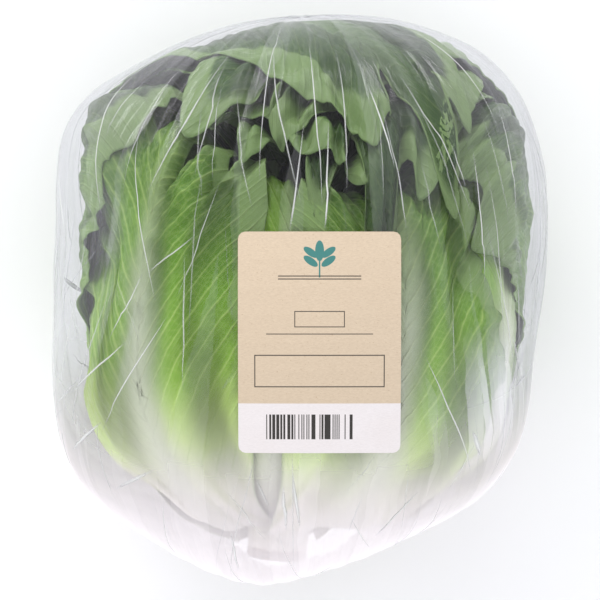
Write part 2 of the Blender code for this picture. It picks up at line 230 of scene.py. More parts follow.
bm = bmesh.new()
bmesh.ops.create_cone(
    bm, cap_ends=True, segments=STEM_SIDES, radius1=STEM_CUT_RADIUS,
    radius2=STEM_CUT_RADIUS * STEM_INNER_AT / STEM_CUT_AT, depth=STEM_CUT_AT - STEM_INNER_AT,
)
cut_rim = [e for e in bm.edges if all(v.co.z < 0 for v in e.verts)]
bmesh.ops.bevel(
    bm, geom=cut_rim, offset=STEM_BEVEL, segments=4, profile=0.5, affect="EDGES", material=-1
)
side_edges = [e for e in bm.edges if abs(e.verts[0].co.z - e.verts[1].co.z) > 10 * MM]
bmesh.ops.subdivide_edges(bm, edges=side_edges, cuts=STEM_RINGS, use_grid_fill=False)
cut_face = min(bm.faces, key=lambda f: f.calc_center_median().z)
for _ in range(CUT_RINGS):
    bmesh.ops.inset_region(bm, faces=[cut_face], thickness=CUT_RING_STEP)
mesh = bpy.data.meshes.new("cut_stem")
bmesh.ops.triangulate(bm, faces=[f for f in bm.faces if len(f.verts) > 4])
bm.to_mesh(mesh)
bm.free()
middle = (STEM_CUT_AT + STEM_INNER_AT) / 2
along_stem = mesh.attributes.new("along", "FLOAT", "POINT")
for v in mesh.vertices:
    x, y, z = v.co
    down = middle - z
    groove = 0.5 + 0.5 * math.sin(STEM_GROOVES * math.atan2(y, x))
    narrowed = 1 - STEM_WAIST * smooth_step(down, 70 * MM, STEM_CUT_AT)
    narrowed -= GROOVE_DEPTH * groove * smooth_step(down, 50 * MM, 80 * MM)
    on_cut = down > STEM_CUT_AT - 0.1 * MM
    pit = abs(CUT_PITS * noise.noise(Vector((x, y, 0)) * CUT_PIT_SCALE)) * on_cut
    p = x * narrowed * RIGHTWARD + y * narrowed * FRONTWARD + (down - pit) * STEMWARD
    length = np.linalg.norm(p)
    v.co = placed(p / length, length)
    along_stem.data[v.index].value = smooth_step(down, STEM_CUT_AT - BROWNED_LENGTH, STEM_CUT_AT)
mesh.shade_smooth()
shown("cut_stem", mesh, stem_finish, "stem")

# The heart
# The closed ball of pale young leaves in the middle, wrapped over each other, with low steps
# where one young leaf ends on the next. The outer leaves hide nearly all of it.

HEART_CUTS = 3
HEART_INSET, HEART_WRINKLES = 0.6 * MM, 0.8 * MM

heart_finish, tree, shader = new_material("heart_leaves")
place = add(tree, "ShaderNodeTexCoord").outputs["Object"]
marbling = noise_texture(tree, place, 90, 4, 0.6)
heart_colour = ramp(tree, marbling, [(0.3, (0.36, 0.46, 0.13)), (0.7, (0.60, 0.66, 0.30))])
tree.links.new(heart_colour, shader.inputs["Base Color"])
tree.links.new(bump(tree, marbling, 1.2 * MM, 0.8), shader.inputs["Normal"])
shader.inputs["Roughness"].default_value = 0.42

bm = bmesh.new()
bm.from_mesh(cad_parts["heart"].data)
bmesh.ops.remove_doubles(bm, verts=bm.verts, dist=0.01 * MM)
bmesh.ops.subdivide_edges(bm, edges=bm.edges, cuts=HEART_CUTS, use_grid_fill=True, smooth=0.7)
for v in bm.verts:
    wrinkle = noise.noise(v.co * 90) * HEART_WRINKLES
    v.co += (Vector(CENTRE) - v.co).normalized() * (HEART_INSET + wrinkle)
mesh = bpy.data.meshes.new("heart_leaves")
bm.to_mesh(mesh)
bm.free()
mesh.shade_smooth()
shown("heart_leaves", mesh, heart_finish, "heart")

# The leaves
# Sixteen thin blades, each clasping the stem with a broad white base. Its rib thins out
# upwards, fine ribs fan out from it to the margin, and the margin is lobed and frilled. They
# are laid on the heart one after another from the inside out.

# Azimuth round the stem, reach over the head, half width and sideways bend, in degrees, then
# the number of ruffles
LEAVES = [
    (60, 158, 46, 0, 9), (200, 152, 48, 0, 10), (330, 150, 48, 0, 9), (255, 156, 48, 0, 9),
    (15, 144, 46, 0, 11), (172, 146, 44, 0, 10), (95, 142, 40, 0, 11), (24, 138, 40, 0, 10),
    (132, 138, 32, 4, 11), (60, 138, 31, 4, 11), (216, 178, 46, -24, 10), (322, 186, 46, 30, 10),
    (288, 234, 34, 8, 9), (258, 244, 36, 4, 9), (306, 228, 24, 6, 6), (226, 232, 24, -8, 8),
]
LEAF_COLUMNS, DEGREES_A_ROW = 12, 12
LEAF_CENTRE = 0.45
CLASP = math.radians(60)
ROOT = math.atan(STEM_CUT_RADIUS / STEM_CUT_AT) + math.radians(0.6)
TIP_NARROWING, SHOULDER_DROP, LOBE = 0.12, 0.17, 0.06
HIDDEN_LEAVES = 6
HEAD_RADIUS = 70 * MM
MAP_SIZE = 192


def leaf_plan(leaf, s, t):
    """The directions of a leaf's points: s runs across it from -1 to 1, t from root to tip.
    Also gives how far up over the head each point is, and how far across from the rib."""
    azimuth, reach, half_width, bend, ruffles = leaf
    phi, reach, half_width, bend = (math.radians(v) for v in (azimuth, reach, half_width, bend))
    middle = 0.62
    grown = np.sin(np.pi / 2 * np.clip(t / middle, 0, 1)) ** 1.1
    narrowed = 1 - TIP_NARROWING * np.clip((t - middle) / (1 - middle), 0, 1) ** 2
    around = np.arctan2(s, t - LEAF_CENTRE)
    lobes = 1 + LOBE * smooth_step(t * 2) * np.sin(ruffles // 2 * around + azimuth)
    from_rib = (1 - grown) * ROOT * np.sin(CLASP * s) + grown * narrowed * lobes * half_width * s
    across = from_rib + bend * t**2
    shoulders = SHOULDER_DROP * t * np.abs(s) ** 2.4
    up = (1 - t) * ROOT * np.cos(CLASP * s) + t * reach * (1 - shoulders) * (1 + (lobes - 1) * t)
    out = math.cos(phi) * RIGHTWARD + math.sin(phi) * FRONTWARD
    side = -math.sin(phi) * RIGHTWARD + math.cos(phi) * FRONTWARD
    meridian = np.cos(up)[..., None] * STEMWARD + np.sin(up)[..., None] * out
    d = np.cos(across)[..., None] * meridian + np.sin(across)[..., None] * side
    return d, up, from_rib


def columns_across(u):
    """Places from -1 to 1 across a leaf, closer together in its middle."""
    return u * (0.7 + 0.3 * u**2)


def cad_radii(node, d):
    """A CAD node's inner and outer radii at those of its points that lie in directions d."""
    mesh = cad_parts[node].data
    points = np.empty(len(mesh.vertices) * 3)
    mesh.vertices.foreach_get("co", points)
    directions, radii = unplaced(points.reshape(-1, 3))
    flat = d.reshape(-1, 3)
    near = flat @ directions.T > 1 - 1e-5
    inner = np.where(near, radii, np.inf).min(1)
    outer = np.where(near, radii, -np.inf).max(1)
    return inner.reshape(d.shape[:-1]), outer.reshape(d.shape[:-1])


def spread(count, fine, closed=False):
    """A matrix that takes count values to smooth values at the fine places between them. It
    is halfway between a curve through the values and a softer one that rounds them off."""
    i = np.clip(np.floor(fine), 0, count - (1 if closed else 2)).astype(int)
    f = (fine - i)[:, None]
    powers = np.concatenate([f**0, f, f**2, f**3], 1)
    through = np.array([[0, 2, 0, 0], [-1, 0, 1, 0], [2, -5, 4, -1], [-1, 3, -3, 1]]) / 2
    softer = np.array([[1, 4, 1, 0], [-3, 0, 3, 0], [3, -6, 3, 0], [-1, 3, -3, 1]]) / 6
    weights = powers @ (0.5 * through + 0.5 * softer)
    matrix = np.zeros((len(fine), count))
    for k in range(4):
        at = i + k - 1
        at = at % count if closed else np.clip(at, 0, count - 1)
        np.add.at(matrix, (np.arange(len(fine)), at), weights[:, k])
    return matrix


def map_cell(d):
    """Where directions d lie on a square map of all directions, in cells."""
    p = d / np.abs(d).sum(-1, keepdims=True)
    x, y = p[..., 0], p[..., 1]
    below = p[..., 2] < 0
    fx = np.where(below, (1 - np.abs(y)) * np.where(x < 0, -1, 1), x)
    fy = np.where(below, (1 - np.abs(x)) * np.where(y < 0, -1, 1), y)
    cells = ((fx + 1) / 2 * MAP_SIZE - 0.5, (fy + 1) / 2 * MAP_SIZE - 0.5)
    return tuple(np.clip(v, 0, MAP_SIZE - 1.001) for v in cells)


def read_map(grid, d):
    x, y = map_cell(d)
    i, j = x.astype(int), y.astype(int)
    u, v = x - i, y - j
    low = grid[i, j] * (1 - v) + grid[i, j + 1] * v
    high = grid[i + 1, j] * (1 - v) + grid[i + 1, j + 1] * v
    return low * (1 - u) + high * u


def neighbours(grid, reach, combine):
    """Each cell of the map combined with those within reach, one axis after the other."""
    for axis in (0, 1):
        widths = [(reach, reach) if k == axis else (0, 0) for k in (0, 1)]
        padded = np.pad(grid, widths, mode="edge")
        size = grid.shape[axis]
        slices = [np.take(padded, range(k, k + size), axis) for k in range(2 * reach + 1)]
        grid = combine(slices, axis=0)
    return grid


def widest(grid, reach):
    return neighbours(grid, reach, np.max)


def blurred(grid, reach):
    return neighbours(neighbours(grid, reach, np.mean), reach, np.mean)


def all_directions():
    """The direction of each cell of the map."""
    c = (np.arange(MAP_SIZE) + 0.5) / MAP_SIZE * 2 - 1
    x, y = np.meshgrid(c, c, indexing="ij")
    z = 1 - np.abs(x) - np.abs(y)
    fold = np.clip(-z, 0, None)
    return unit(np.stack([x - np.sign(x) * fold, y - np.sign(y) * fold, z], -1))


def first_wall(node):
    """How far out the node's inside is in each direction of the map."""
    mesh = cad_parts[node].data
    d, radius = unplaced([v.co for v in mesh.vertices])
    walls = BVHTree.FromPolygons((d * radius[:, None]).tolist(), [p.vertices for p in mesh.polygons])
    hits = [walls.ray_cast(Vector(), Vector(d))[3] for d in all_directions().reshape(-1, 3)]
    hits = [np.inf if hit is None else hit for hit in hits]
    return np.array(hits).reshape(MAP_SIZE, MAP_SIZE)


# How far out a leaf may reach. In the open mouth there is no wall, and a far limit instead.
FILM_ROOM, MOUTH_ROOM = 0.6 * MM, 200 * MM
room = -widest(-np.minimum(first_wall("bag"), MOUTH_ROOM), 1) - FILM_ROOM
reached = np.zeros((MAP_SIZE, MAP_SIZE))

FRILL_INNER, FRILL_OUTER = 1.4 * MM, 6.5 * MM
SCALLOP = 0.17
BUCKLES = [(34 * MM, 0.50 * MM), (15 * MM, 0.28 * MM), (7 * MM, 0.10 * MM)]
BUCKLES_OF_EACH = 3
VEIN_SPACING, VEIN_SLANT, VEIN_CURVE = 8.5 * MM, 2.0, 8
PUFF = 1.1 * MM
FILM_PRESS, LAYER, LAYERS_TO_HIDE = 0.84, 1.5 * MM, 3
SIDE_SLACK, SIDES_FROM, SIDES_TO = 0.75, 0.72, 0.95
LEAF_GAP = 0.15 * MM
RIB_WIDTH, RIB_LEAST, RIB_FADE = 8.5 * MM, 0.5 * MM, 0.75
PALE_RIB_LEAF, PALE_RIB_WIDENED, PALE_RIB_FADE = 7, 1.7, 0.1
BLADE_SHARE, EDGE_THINNING, LEAST_BLADE = 0.75, 0.35, 0.45 * MM
BLADE_COLUMNS, ROWS_A_DEGREE = 56, 0.36
# Where along a leaf its puffs, buckles and swell begin, and where all three are full
PUFF_FROM, BUCKLE_FROM, PRESS_FROM, ALL_FULL_AT = 0.28, 0.1, 0.15, 0.5


def frill(leaf, s, t, share):
    """How far the margin's waves stand out, and how much its notches draw it in."""
    azimuth, _, _, _, ruffles = leaf
    around = np.arctan2(s, t - LEAF_CENTRE)
    beyond = (t - LEAF_CENTRE) / (1 - LEAF_CENTRE) * (t > LEAF_CENTRE)
    edge = np.clip(np.hypot(s, beyond), 0, 1)
    above = smooth_step(t * 1.4)
    phase = ruffles * around + azimuth + 0.7 * np.sin(2.3 * around + share * 5)
    notch = (0.5 - 0.5 * np.sin(phase)) ** 4
    curl = 0.5 + 0.5 * np.sin(phase + 0.5)
    crinkle = np.sin(3.1 * phase + 4 * share) * 0.35 + np.sin(5.3 * phase + 2 + 9 * share) * 0.2
    height = FRILL_INNER + (FRILL_OUTER - FRILL_INNER) * share
    lift = height * above * ((curl - 0.55) * edge**3 + crinkle * edge**5)
    draw = SCALLOP * notch * above * edge**3
    return lift, draw, edge


def buckles(across, along, seed):
    """The low hollows and swellings of a blade that grew faster than its veins."""
    total = np.zeros(np.shape(across))
    draws = np.random.default_rng(seed)
    for wavelength, height in BUCKLES:
        for _ in range(BUCKLES_OF_EACH):
            turn, phase = draws.uniform(0, np.pi), draws.uniform(0, math.tau)
            total += height * np.sin(
                (across * math.cos(turn) + 0.5 * along * math.sin(turn)) * math.tau / wavelength + phase
            )
    return total


def blade_mesh(name, columns, rows):
    """A flat sheet of small faces with its two sides and its rim, as a mesh. Its vertices say
    where they are: s in x, t in y, and 0 for the inner or 1 for the outer side in z."""
    bm = bmesh.new()
    bmesh.ops.create_grid(bm, x_segments=columns, y_segments=rows, size=1)
    outer = bmesh.ops.extrude_face_region(bm, geom=bm.faces[:])["geom"]
    outer = [v for v in outer if isinstance(v, bmesh.types.BMVert)]
    bmesh.ops.translate(bm, verts=outer, vec=(0, 0, 1))
    bmesh.ops.recalc_face_normals(bm, faces=bm.faces)
    mesh = bpy.data.meshes.new(name)
    bm.to_mesh(mesh)
    bm.free()
    grid = np.empty(len(mesh.vertices) * 3)
    mesh.vertices.foreach_get("co", grid)
    return mesh, grid.reshape(-1, 3)


def set_points(mesh, points):
    mesh.vertices.foreach_set("co", np.ascontiguousarray(points, dtype=np.float32).ravel())
    mesh.update()


def set_attribute(mesh, name, values):
    """Stores a number or a vector for each vertex, for the material to read."""
    values = np.ascontiguousarray(values, dtype=np.float32)
    kind, field = ("FLOAT", "value") if values.ndim == 1 else ("FLOAT_VECTOR", "vector")
    mesh.attributes.new(name, kind, "POINT").data.foreach_set(field, values.ravel())


def triangle_wave(tree, phase):
    """How far phase is from the middle between two whole numbers, from 0 to 0.5."""
    saw = math_node(tree, "SUBTRACT", math_node(tree, "FRACT", phase), 0.5)
    return math_node(tree, "ABSOLUTE", saw)


def vein_masks(tree, blade):
    """Where a blade's lateral veins, thin veins and net of finest veins run, each 1 on a vein."""
    wander = times(tree, noise_texture(tree, blade, 70, 1), 0.5)
    phase = plus(tree, attribute(tree, "vein").outputs["Fac"], wander)
    vein = between(tree, times(tree, triangle_wave(tree, phase), 2), 0.72, 1.0)
    thin_vein = between(tree, triangle_wave(tree, times(tree, phase, 3.0)), 0.36, 0.5)
    cells = add(
        tree, "ShaderNodeTexVoronoi", {"Vector": blade, "Scale": 330}, feature="DISTANCE_TO_EDGE"
    )
    net = between(tree, cells.outputs["Distance"], 0.0, 0.16, 1.0, 0.0)
    return vein, thin_vein, net


def drawn_out_noise(tree, blade, along, scale, roughness):
    """Noise that is stretched along the leaf, the more the smaller along is."""
    stretched = add(tree, "ShaderNodeMapping", {"Vector": blade, "Scale": (1, along, 1)})
    return noise_texture(tree, stretched.outputs["Vector"], scale, 1, roughness)


def blade_colour(tree, blade, height, broad, veins, tint_and_painted_fill):
    """A blade's colour between its rib and its margin: by height, then veins, then painted shade and
    light along its hollows and folds.
    """
    level = math_node(tree, "SUBTRACT", plus(tree, height, times(tree, broad, 0.16)), 0.08)
    colour = ramp(tree, level, [
        (0.10, (0.92, 0.88, 0.82)), (0.20, (0.88, 0.90, 0.62)), (0.29, (0.56, 0.70, 0.22)),
        (0.40, (0.19, 0.35, 0.034)), (0.56, (0.102, 0.232, 0.012)), (0.70, (0.064, 0.148, 0.012)),
        (0.84, (0.035, 0.089, 0.009)), (1.0, (0.024, 0.068, 0.006)),
    ])
    strands = drawn_out_noise(tree, blade, 0.07, 260, 0.6)
    strand_colour = ramp(tree, strands, [
        (0.38, (0.50, 0.52, 0.30)), (0.50, (0.78, 0.73, 0.62)), (0.62, (0.90, 0.84, 0.80)),
    ])
    strand_share = between(tree, height, 0.15, 0.29, 0.75, 0.0)
    colour = mix_colour(tree, strand_share, colour, strand_colour)
    # The tint is the leaf's own paleness, and for the inner leaves also painted fill light that lifts
    # their shade
    tinted_and_painted_lighter = mix_colour(tree, 1.0, colour, tint_and_painted_fill, "MULTIPLY")
    colour = mix_colour(tree, between(tree, height, 0.35, 0.60), colour, tinted_and_painted_lighter)

    vein, thin_vein, net = veins
    veined = times(tree, vein, between(tree, height, 0.2, 0.85, 0.80, 0.16))
    veined = plus(tree, veined, times(tree, thin_vein, 0.20))
    veined = math_node(tree, "ADD", veined, times(tree, net, 0.16), True)
    veined = times(
        tree, veined, between(tree, height, 0.18, 0.32), between(tree, height, 0.66, 0.95, 1.0, 0.35)
    )
    lighter = mix_colour(tree, 0.60, colour, (0.50, 0.66, 0.20))
    colour = mix_colour(tree, veined, colour, lighter)

    # Painted shade and light in dark and light streaks along folds that run up the leaf, weaker near
    # its base
    folds = drawn_out_noise(tree, blade, 0.16, 75, 0.5)
    painted_fold_strength = between(tree, height, 0.14, 0.34, 0.30, 1.0)
    painted_fold_shading = times(tree, between(tree, folds, 0.30, 0.66, -0.48, 0.22), painted_fold_strength)
    # Painted shade: the hollows of the broad bump are darker and its rises lighter
    painted_shading = between(tree, broad, 0.3, 0.7, 0.78, 1.16)
    painted_shading = times(tree, painted_shading, plus(tree, painted_fold_shading, 1.0))
    grey = add(tree, "ShaderNodeCombineColor", {"Red": painted_shading, "Green": painted_shading, "Blue": painted_shading})
    colour = mix_colour(tree, 1.0, colour, grey.outputs["Color"], "MULTIPLY")
    return colour, times(tree, strands, strand_share)


def leaf_material(name, tint_and_painted_fill, seed):
    """A leaf's finish: white at the base, then yellow green, and dark green on the crown, with
    a pale rib, lateral veins and a fine net of veins between them."""
    made, tree, shader = new_material(name)
    height = attribute(tree, "height").outputs["Fac"]
    edge = attribute(tree, "edge").outputs["Fac"]
    blade = attribute(tree, "blade").outputs["Vector"]
    shifted = add(tree, "ShaderNodeMapping", {"Vector": blade, "Location": (seed, 2 * seed, 0)})
    blade = shifted.outputs["Vector"]
    broad = noise_texture(tree, blade, 28, 2, 0.55)
    fine = noise_texture(tree, blade, 420, 1, 0.6)
    vein, thin_vein, net = vein_masks(tree, blade)

    colour, strands = blade_colour(tree, blade, height, broad, (vein, thin_vein, net), tint_and_painted_fill)
    rib_colour = ramp(tree, height, [
        (0.1, (0.86, 0.84, 0.76)), (0.50, (0.74, 0.77, 0.60)), (0.68, (0.38, 0.50, 0.20)),
        (0.85, (0.14, 0.24, 0.07)),
    ])
    colour = mix_colour(tree, attribute(tree, "rib").outputs["Fac"], colour, rib_colour)
    margin = times(tree, between(tree, edge, 0.955, 1.0), 0.55)
    colour = mix_colour(tree, margin, colour, (0.26, 0.38, 0.14))
    tree.links.new(colour, shader.inputs["Base Color"])

    relief = plus(tree, times(tree, vein, 0.25), times(tree, thin_vein, 0.10))
    relief = times(tree, relief, between(tree, height, 0.20, 0.38))
    relief = plus(tree, relief, strands, times(tree, fine, 0.25), times(tree, broad, 0.9))
    tree.links.new(bump(tree, relief, 0.9 * MM, 0.75), shader.inputs["Normal"])
    tree.links.new(between(tree, fine, 0.3, 0.7, 0.36, 0.52), shader.inputs["Roughness"])
    shader.inputs["Specular IOR Level"].default_value = 0.3
    return made


def leaf_form(index, leaf):
    """One leaf's fine grid: its CAD radii made smooth, its frill, and the puffed blade between
    its veins, with what its material needs to know at each point."""
    reach = leaf[1]
    share = index / (len(LEAVES) - 1)
    coarse_rows = round(reach / DEGREES_A_ROW)
    coarse_s = columns_across(np.linspace(-1, 1, LEAF_COLUMNS + 1))
    coarse_t, coarse_s = np.meshgrid(np.linspace(0, 1, coarse_rows + 1), coarse_s, indexing="ij")
    inner, outer = cad_radii(f"leaf_{index + 1:02d}", leaf_plan(leaf, coarse_s, coarse_t)[0])

    fineness = 1 if index < HIDDEN_LEAVES else 2
    columns, rows = BLADE_COLUMNS * fineness, round(reach * ROWS_A_DEGREE) * fineness
    u, v = np.linspace(-1, 1, columns + 1), np.linspace(0, 1, rows + 1)
    up_matrix = spread(coarse_rows + 1, v * coarse_rows)
    across_matrix = spread(LEAF_COLUMNS + 1, (u + 1) / 2 * LEAF_COLUMNS)
    base = up_matrix @ inner @ across_matrix.T
    thick = up_matrix @ (outer - inner) @ across_matrix.T
    t, s = np.meshgrid(v, columns_across(u), indexing="ij")

    lift, draw, edge = frill(leaf, s, t, share)
    pulled_t = np.where(t > LEAF_CENTRE, LEAF_CENTRE + (t - LEAF_CENTRE) * (1 - draw), t)
    d, up, from_rib = leaf_plan(leaf, s * (1 - draw), pulled_t)
    along, across = up * HEAD_RADIUS, from_rib * HEAD_RADIUS
    vein = (along - VEIN_SLANT * np.abs(across) + VEIN_CURVE * across**2) / VEIN_SPACING
    vein = vein + 0.5 * (across > 0) + share * 3.7
    widened, fade = (PALE_RIB_WIDENED, PALE_RIB_FADE) if index == PALE_RIB_LEAF else (1, RIB_FADE)
    rib_width = (RIB_WIDTH * np.clip(1.15 - t, 0.06, 1) + RIB_LEAST) * widened
    rib = np.exp(-((across / rib_width) ** 2)) * (1 - fade * t)
    puff = PUFF * np.abs(np.sin(np.pi * vein)) * (1 - rib)
    puff = puff * smooth_step(t, PUFF_FROM, ALL_FULL_AT)
    puff = puff + buckles(across, along, index) * smooth_step(t, BUCKLE_FROM, ALL_FULL_AT)
    thick = np.maximum(thick * BLADE_SHARE * (1 - EDGE_THINNING * edge**6), LEAST_BLADE)
    return {
        "columns": columns, "rows": rows, "d": d, "t": t, "base": base, "thick": thick,
        "off": lift + puff, "height": up / math.pi, "rib": rib, "edge": edge, "vein": vein,
        "blade": np.stack([across, along, across * 0], -1),
    }


def cells_of(form):
    return tuple(np.round(c).astype(int) for c in map_cell(form["d"]))


def layers_above(forms):
    """For each leaf, a map of how many later leaves lie on it in each direction."""
    above, maps = np.zeros((MAP_SIZE, MAP_SIZE)), []
    for form in reversed(forms):
        maps.insert(0, blurred(above, 4))
        covered = np.zeros((MAP_SIZE, MAP_SIZE))
        covered[cells_of(form)] = 1
        above = above + widest(covered, 1)
    return maps


def add_blade(index, form, above):
    """Lays a leaf on the ones before it. Where few others cover it, it swells towards the film."""
    d, t, base, thick = form["d"], form["t"], form["base"], form["thick"]
    layers = read_map(above, d)
    bare = np.clip(1.25 - layers / LAYERS_TO_HIDE, 0, 1)
    slack = np.maximum(read_map(room, d) - layers * LAYER - thick - base, 0)
    inward = 1 - SIDE_SLACK * smooth_step(np.abs(d[..., 0]), SIDES_FROM, SIDES_TO)
    swell = FILM_PRESS * bare * inward * slack * smooth_step(t, PRESS_FROM, ALL_FULL_AT)
    laid = read_map(widest(reached, 1), d) + LEAF_GAP
    laid = np.maximum(base + swell + form["off"], laid)
    inner_radius = np.minimum(laid, read_map(room, d) - thick)
    outer_radius = inner_radius + thick
    np.maximum.at(reached, cells_of(form), outer_radius)

    name = f"blade_{index + 1:02d}"
    columns, rows = form["columns"], form["rows"]
    mesh, grid = blade_mesh(name, columns, rows)
    row = np.round((grid[:, 1] + 1) / 2 * rows).astype(int)
    column = np.round((grid[:, 0] + 1) / 2 * columns).astype(int)
    radius = np.where(grid[:, 2] > 0.5, outer_radius[row, column], inner_radius[row, column])
    set_points(mesh, placed(d[row, column], radius))
    mesh.flip_normals()
    for value in ("height", "rib", "edge", "vein", "blade"):
        set_attribute(mesh, value, form[value][row, column])
    mesh.shade_smooth()
    finish = leaf_finishes[index * len(leaf_finishes) // len(LEAVES)]
    shown(name, mesh, finish, f"leaf_{index + 1:02d}")


# The younger a leaf is and the less light it has had, the paler it is
# The inner leaves are made paler still as painted fill light, which lifts the shade in the deep wells
# between leaves
LEAF_PALENESS_AND_PAINTED_FILL = [(2.4, 2.1, 1.5), (1.6, 1.45, 1.15), (1.0, 1.0, 1.0), (0.90, 0.95, 0.90)]
leaf_finishes = [
    leaf_material(f"leaf_green_{k + 1}", tint_and_painted_fill, 0.3 * k) for k, tint_and_painted_fill in enumerate(LEAF_PALENESS_AND_PAINTED_FILL)
]
forms = [leaf_form(index, leaf) for index, leaf in enumerate(LEAVES)]
for index, above in enumerate(layers_above(forms)):
    add_blade(index, forms[index], above)

# The film bag
# One sheet of clear thin film drawn round the head and gathered at its mouth, behind the
# stem. Its creases fan out from the gather as thin ridges whose white is a painted highlight,
# and its slack lies in low folds.

MOUTH_TILT = math.radians(38)
BAG_SEGMENTS, BAG_RINGS, OPEN_RINGS = 36, 20, 2
FILM_SEGMENTS, FILM_RINGS = 216, 130
FILM_THICKNESS, FILM_INSET = 0.15 * MM, 0.05 * MM
FOLD_DEPTH = 0.55 * MM
GATHERS, GATHER_DEPTH, GATHERED_TO = 40, 0.8 * MM, 1.0
FOLDS_FREE_FROM, FOLDS_FREE_TO = 1 * MM, 9 * MM
UNDER_LABEL_EDGE, UNDER_LABEL_GAP = 2 * MM, 0.1 * MM
SLACK_AT = np.array([64, -34, 45]) * MM
LABEL_SIZE = (55 * MM, 75 * MM)
LABEL_CREST = (3 * MM, 5 * MM, 133.6 * MM)
LABEL_BEND = (200 * MM, 160 * MM)


def bag_directions(around, polar):
    """The directions of the film's points, by the angle round its mouth and away from it."""
    x, y, z = np.sin(polar) * np.cos(around), -np.cos(polar), np.sin(polar) * np.sin(around)
    tilt = MOUTH_TILT * (1 - polar / np.pi)
    return np.stack([x, y * np.cos(tilt) - z * np.sin(tilt), y * np.sin(tilt) + z * np.cos(tilt)], -1)


# The CAD film's radii. Its bottom has no points of its own where it is flat on the ground.
coarse_polar = np.linspace(0, np.pi, BAG_RINGS + 1)[OPEN_RINGS:]
coarse_around = np.arange(BAG_SEGMENTS) / BAG_SEGMENTS * math.tau
grid_polar, grid_around = np.meshgrid(coarse_polar, coarse_around, indexing="ij")
coarse_directions = bag_directions(grid_around, grid_polar)
_, bag_outer = cad_radii("bag", coarse_directions)
on_ground = -CENTRE[2] / np.minimum(coarse_directions[..., 2], -1e-6)
bag_outer = np.where(np.isinf(bag_outer), on_ground, bag_outer)

bm = bmesh.new()
bmesh.ops.create_uvsphere(bm, u_segments=FILM_SEGMENTS, v_segments=FILM_RINGS, radius=1)
mouth_edge = math.pi / BAG_RINGS * OPEN_RINGS
cap = [v for v in bm.verts if v.co.z > math.cos(mouth_edge)]
bmesh.ops.delete(bm, geom=cap, context="VERTS")
inner_wall = bmesh.ops.extrude_face_region(bm, geom=bm.faces[:])["geom"]
inner_wall = [v for v in inner_wall if isinstance(v, bmesh.types.BMVert)]
bmesh.ops.scale(bm, verts=inner_wall, vec=(0.5, 0.5, 0.5))
mesh = bpy.data.meshes.new("clear_film")
bm.to_mesh(mesh)
bm.free()
sphere = np.empty(len(mesh.vertices) * 3)
mesh.vertices.foreach_get("co", sphere)
sphere = sphere.reshape(-1, 3)
is_inner = np.linalg.norm(sphere, axis=1) < 0.75
sphere = unit(sphere)
polar = np.arccos(np.clip(sphere[:, 2], -1, 1))
around = np.arctan2(sphere[:, 1], sphere[:, 0]) % math.tau

# Each fine ring and column reads the CAD's radii through the same smooth curves
ring = np.round(polar / np.pi * FILM_RINGS).astype(int)
column = np.round(around / math.tau * FILM_SEGMENTS).astype(int) % FILM_SEGMENTS
ring_places = np.arange(FILM_RINGS + 1) / FILM_RINGS * BAG_RINGS - OPEN_RINGS
ring_places = np.clip(ring_places, 0, BAG_RINGS - OPEN_RINGS)
column_places = np.arange(FILM_SEGMENTS) / FILM_SEGMENTS * BAG_SEGMENTS
ring_matrix = spread(BAG_RINGS + 1 - OPEN_RINGS, ring_places)
column_matrix = spread(BAG_SEGMENTS, column_places, True)
fine_radius = ring_matrix @ bag_outer @ column_matrix.T
radius = fine_radius[ring, column]


def film_folds(around, polar):
    """How deep the slack film's folds are: long creases from the mouth to the far end."""
    depth = np.zeros(len(around))
    for k, (a, p) in enumerate(zip(around, polar)):
        x, y = math.cos(a), math.sin(a)
        broad = 3 * abs(noise.noise(Vector((2.6 * x, 2.6 * y, 0.5 * p))))
        sharp = 3 * abs(noise.noise(Vector((7 * x + 3, 7 * y, 0.9 * p + 5))))
        slanted = Vector((4 * x + 1.5 * p, 4 * y - 1.5 * p, 1.2 * p + 9))
        slanted = 4 * abs(noise.noise(slanted))
        depth[k] = 0.40 * min(1, broad) + 0.35 * min(1, sharp) + 0.25 * min(1, slanted)
    return FOLD_DEPTH * depth


d = bag_directions(around, polar)
points = placed(d, radius)
aside = np.stack([
    np.abs(points[:, k] - CENTRE[k] - LABEL_CENTRE[k]) - LABEL_SIZE[k] / 2 for k in (0, 1)
])
past_label = np.linalg.norm(np.clip(aside, 0, None), axis=0)
off_label = smooth_step(past_label, FOLDS_FREE_FROM, FOLDS_FREE_TO)
off_label = np.where(d[:, 2] > 0, off_label, 1)
gathers = GATHER_DEPTH * (0.5 + 0.5 * np.cos(GATHERS * around))
gathers = gathers * smooth_step(polar, GATHERED_TO, mouth_edge)
radius = radius - (film_folds(around, polar) + gathers) * off_label - FILM_INSET
radius = np.where(is_inner, radius - FILM_THICKNESS, radius)
points = placed(d, radius)
x, y = points[:, 0] - CENTRE[0], points[:, 1] - CENTRE[1]
label_height = (
    LABEL_CREST[2] - (x - LABEL_CREST[0]) ** 2 / (2 * LABEL_BEND[0])
    - (y - LABEL_CREST[1]) ** 2 / (2 * LABEL_BEND[1])
)
under_label = (d[:, 2] > 0) & (past_label < UNDER_LABEL_EDGE)
ceiling = label_height - UNDER_LABEL_GAP - np.where(is_inner, FILM_THICKNESS, 0)
points[:, 2] = np.where(under_label, np.minimum(points[:, 2], ceiling), points[:, 2])
points[:, 2] = np.maximum(points[:, 2], np.where(is_inner, FILM_THICKNESS, 0))
points = np.clip(points, *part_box("bag"))
set_points(mesh, points)
set_attribute(mesh, "fold", np.stack([np.cos(around), np.sin(around), polar], -1))
bm = bmesh.new()
bm.from_mesh(mesh)
if bm.calc_volume(signed=True) < 0:
    bmesh.ops.reverse_faces(bm, faces=bm.faces)
bm.to_mesh(mesh)
bm.free()
mesh.shade_smooth()

